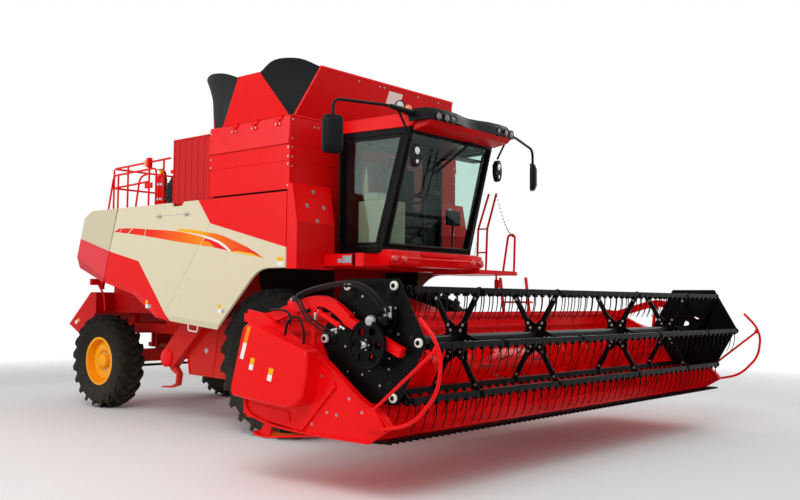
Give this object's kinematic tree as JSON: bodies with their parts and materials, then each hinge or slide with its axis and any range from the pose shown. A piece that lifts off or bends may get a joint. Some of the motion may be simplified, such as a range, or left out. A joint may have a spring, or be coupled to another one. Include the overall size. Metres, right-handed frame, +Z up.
{
  "type": "combine harvester",
  "caption": "Self-propelled grain harvester with raised cutting header and tined reel, cab, open grain tank, unloading auger and steered rear wheels.",
  "frame": {"origin": "on the ground, at the middle of the machine's box", "axes": "+X forward, +Y to the driver's left, +Z up"},
  "size_m": [8.4845, 6.4, 4.08],
  "materials": {
    "red_paint": "gloss",
    "beige_paint": "gloss",
    "black_paint": "satin",
    "yellow_paint": "gloss",
    "tyre_rubber": "matt",
    "black_rubber": "matt",
    "black_plastic": "satin",
    "beige_plastic": "matt",
    "seat_fabric": "woven",
    "tinted_glass": "clear",
    "cast_grey": "rough",
    "hose_rubber": "satin",
    "rod_chrome": "polished"
  },
  "bodies": {
    "chassis": {"auger_base": "red_paint", "cab_brow": "black_plastic", "cab_frame": "black_paint", "cab_glass": "tinted_glass", "cab_roof": "red_paint", "chopper": "red_paint", "console": "beige_plastic", "deck_rails": "red_paint", "engine": "cast_grey", "extension_corners": "black_rubber", "front_axle": "red_paint", "front_panels": "red_paint", "grain_tank": "red_paint", "main_frame": "red_paint", "platform": "red_paint", "rear_axle": "red_paint", "screen_box": "red_paint", "seat": "seat_fabric", "tail_hood": "beige_paint", "tank_extension": "red_paint", "thresher_body": "red_paint"},
    "right_front_wheel": {"front_tyre_right": "tyre_rubber", "front_rim_right": "yellow_paint"},
    "left_front_wheel": {"front_tyre_left": "tyre_rubber", "front_rim_left": "yellow_paint"},
    "right_knuckle": {"knuckle_right": "red_paint"},
    "left_knuckle": {"knuckle_left": "red_paint"},
    "right_rear_wheel": {"rear_tyre_right": "tyre_rubber", "rear_rim_right": "yellow_paint"},
    "left_rear_wheel": {"rear_tyre_left": "tyre_rubber", "rear_rim_left": "yellow_paint"},
    "tie_rod": {"tie_rod": "black_paint"},
    "right_cover": {"side_cover_right": "beige_paint"},
    "left_cover": {"side_cover_left": "beige_paint"},
    "right_door": {"door_right": "black_paint", "door_glass_right": "tinted_glass"},
    "left_door": {"door_left": "black_paint", "door_glass_left": "tinted_glass"},
    "ladder": {"ladder": "red_paint"},
    "unloader": {"unloading_auger": "red_paint"},
    "header": {"feeder_house": "red_paint", "header_table": "red_paint", "header_covers": "red_paint", "cutter_bar": "black_paint"},
    "header_auger": {"header_auger": "red_paint"},
    "lift_barrels": {"lift_barrels": "red_paint"},
    "lift_rods": {"lift_rods": "rod_chrome"},
    "reel_arms": {"reel_arms": "red_paint"},
    "reel_lift_barrels": {"reel_lift_barrels": "red_paint"},
    "reel_lift_rods": {"reel_lift_rods": "rod_chrome"},
    "reel_carriage": {"reel_carriage": "black_paint", "reel_hoses": "hose_rubber"},
    "reel_core": {"reel_core": "black_paint"},
    "reel_controls": {"reel_controls": "black_paint"},
    "bat_1": {"reel_bat_1": "black_paint"},
    "bat_2": {"reel_bat_2": "black_paint"},
    "bat_3": {"reel_bat_3": "black_paint"},
    "bat_4": {"reel_bat_4": "black_paint"},
    "bat_5": {"reel_bat_5": "black_paint"},
    "bat_6": {"reel_bat_6": "black_paint"}
  },
  "joints": [
    {"name": "right_front_wheel_spin", "type": "hinge", "parent": "chassis", "child": "right_front_wheel", "pos_m": [0.60775, -1.246, 0.8], "axis": [0, 1, 0], "continuous": true},
    {"name": "left_front_wheel_spin", "type": "hinge", "parent": "chassis", "child": "left_front_wheel", "pos_m": [0.60775, 1.246, 0.8], "axis": [0, 1, 0], "continuous": true},
    {"name": "right_steer", "type": "hinge", "parent": "chassis", "child": "right_knuckle", "pos_m": [-3.12725, -0.8, 0.625], "axis": [0, 0, 1], "range_deg": [-35, 35]},
    {"name": "left_steer", "type": "hinge", "parent": "chassis", "child": "left_knuckle", "pos_m": [-3.12725, 0.8, 0.625], "axis": [0, 0, 1], "range_deg": [-35, 35]},
    {"name": "right_rear_wheel_spin", "type": "hinge", "parent": "right_knuckle", "child": "right_rear_wheel", "pos_m": [-3.12725, -1.043, 0.625], "axis": [0, 1, 0], "continuous": true},
    {"name": "left_rear_wheel_spin", "type": "hinge", "parent": "left_knuckle", "child": "left_rear_wheel", "pos_m": [-3.12725, 1.043, 0.625], "axis": [0, 1, 0], "continuous": true},
    {"name": "tie_rod_shift", "type": "slide", "parent": "chassis", "child": "tie_rod", "axis": [0, -1, 0], "range_m": [-0.10893, 0.10893]},
    {"name": "right_cover_lift", "type": "hinge", "parent": "chassis", "child": "right_cover", "pos_m": [-0.89225, -1.462, 2.62], "axis": [-1, 0, 0], "range_deg": [0, 85]},
    {"name": "left_cover_lift", "type": "hinge", "parent": "chassis", "child": "left_cover", "pos_m": [-0.89225, 1.462, 2.62], "axis": [1, 0, 0], "range_deg": [0, 85]},
    {"name": "right_door_swing", "type": "hinge", "parent": "chassis", "child": "right_door", "pos_m": [1.11922, -0.86528, 2.6], "axis": [0, 0, -1], "range_deg": [0, 80]},
    {"name": "left_door_swing", "type": "hinge", "parent": "chassis", "child": "left_door", "pos_m": [1.11922, 0.86528, 2.6], "axis": [0, 0, 1], "range_deg": [0, 80]},
    {"name": "ladder_swing", "type": "hinge", "parent": "chassis", "child": "ladder", "pos_m": [1.46775, 1.59, 1.7], "axis": [0, 0, -1], "range_deg": [0, 90]},
    {"name": "unloader_swing", "type": "hinge", "parent": "chassis", "child": "unloader", "pos_m": [0.48775, 1.64, 3.15], "axis": [0, 0, -1], "range_deg": [0, 100]},
    {"name": "header_lift", "type": "hinge", "parent": "chassis", "child": "header", "pos_m": [0.70775, 0, 1.435], "axis": [0, -1, 0], "range_deg": [-8, 10]},
    {"name": "header_auger_spin", "type": "hinge", "parent": "header", "child": "header_auger", "pos_m": [2.59275, 0, 0.84], "axis": [0, 1, 0], "continuous": true},
    {"name": "lift_barrel_turn", "type": "hinge", "parent": "chassis", "child": "lift_barrels", "pos_m": [0.80775, 0, 0.56], "axis": [0, -1, 0], "range_deg": [-7.01, 8.75]},
    {"name": "lift_rod_slide", "type": "slide", "parent": "lift_barrels", "child": "lift_rods", "axis": [0.9695, 0, 0.2449], "range_m": [-0.1211, 0.1511]},
    {"name": "reel_lift", "type": "hinge", "parent": "header", "child": "reel_arms", "pos_m": [2.37775, 0, 1.314], "axis": [0, -1, 0], "range_deg": [0, 20]},
    {"name": "reel_cylinder_turn", "type": "hinge", "parent": "header", "child": "reel_lift_barrels", "pos_m": [2.89775, 0, 0.99], "axis": [0, -1, 0], "range_deg": [-0.05, 8.05]},
    {"name": "reel_cylinder_slide", "type": "slide", "parent": "reel_lift_barrels", "child": "reel_lift_rods", "axis": [0.1104, 0, 0.9939], "range_m": [-0.001, 0.1895]},
    {"name": "reel_shift", "type": "slide", "parent": "reel_arms", "child": "reel_carriage", "axis": [0.9255, 0, -0.3786], "range_m": [-0.12, 0]},
    {"name": "reel_spin", "type": "hinge", "parent": "reel_carriage", "child": "reel_core", "pos_m": [3.54275, 0, 1.156], "axis": [0, 1, 0], "continuous": true},
    {"name": "reel_control_spin", "type": "hinge", "parent": "reel_carriage", "child": "reel_controls", "pos_m": [3.47475, 0, 1.182], "axis": [0, 1, 0], "continuous": true},
    {"name": "bat_1_turn", "type": "hinge", "parent": "reel_core", "child": "bat_1", "pos_m": [4.01275, 0, 1.156], "axis": [0, 1, 0], "continuous": true},
    {"name": "bat_2_turn", "type": "hinge", "parent": "reel_core", "child": "bat_2", "pos_m": [3.77775, 0, 1.56303], "axis": [0, 1, 0], "continuous": true},
    {"name": "bat_3_turn", "type": "hinge", "parent": "reel_core", "child": "bat_3", "pos_m": [3.30775, 0, 1.56303], "axis": [0, 1, 0], "continuous": true},
    {"name": "bat_4_turn", "type": "hinge", "parent": "reel_core", "child": "bat_4", "pos_m": [3.07275, 0, 1.156], "axis": [0, 1, 0], "continuous": true},
    {"name": "bat_5_turn", "type": "hinge", "parent": "reel_core", "child": "bat_5", "pos_m": [3.30775, 0, 0.74897], "axis": [0, 1, 0], "continuous": true},
    {"name": "bat_6_turn", "type": "hinge", "parent": "reel_core", "child": "bat_6", "pos_m": [3.77775, 0, 0.74897], "axis": [0, 1, 0], "continuous": true}
  ],
  "couplings": [
    {"joint": "left_steer", "follows": "right_steer", "ratio": 1},
    {"joint": "tie_rod_shift", "follows": "right_steer", "m_per_rad": 0.178},
    {"joint": "lift_barrel_turn", "follows": "header_lift", "ratio": 0.87},
    {"joint": "lift_rod_slide", "follows": "header_lift", "m_per_rad": 0.86},
    {"joint": "reel_cylinder_turn", "follows": "reel_lift", "ratio": 0.4},
    {"joint": "reel_cylinder_slide", "follows": "reel_lift", "m_per_rad": 0.54},
    {"joint": "reel_control_spin", "follows": "reel_spin", "ratio": 1},
    {"joint": "bat_1_turn", "follows": "reel_spin", "ratio": -1},
    {"joint": "bat_2_turn", "follows": "reel_spin", "ratio": -1},
    {"joint": "bat_3_turn", "follows": "reel_spin", "ratio": -1},
    {"joint": "bat_4_turn", "follows": "reel_spin", "ratio": -1},
    {"joint": "bat_5_turn", "follows": "reel_spin", "ratio": -1},
    {"joint": "bat_6_turn", "follows": "reel_spin", "ratio": -1}
  ]
}
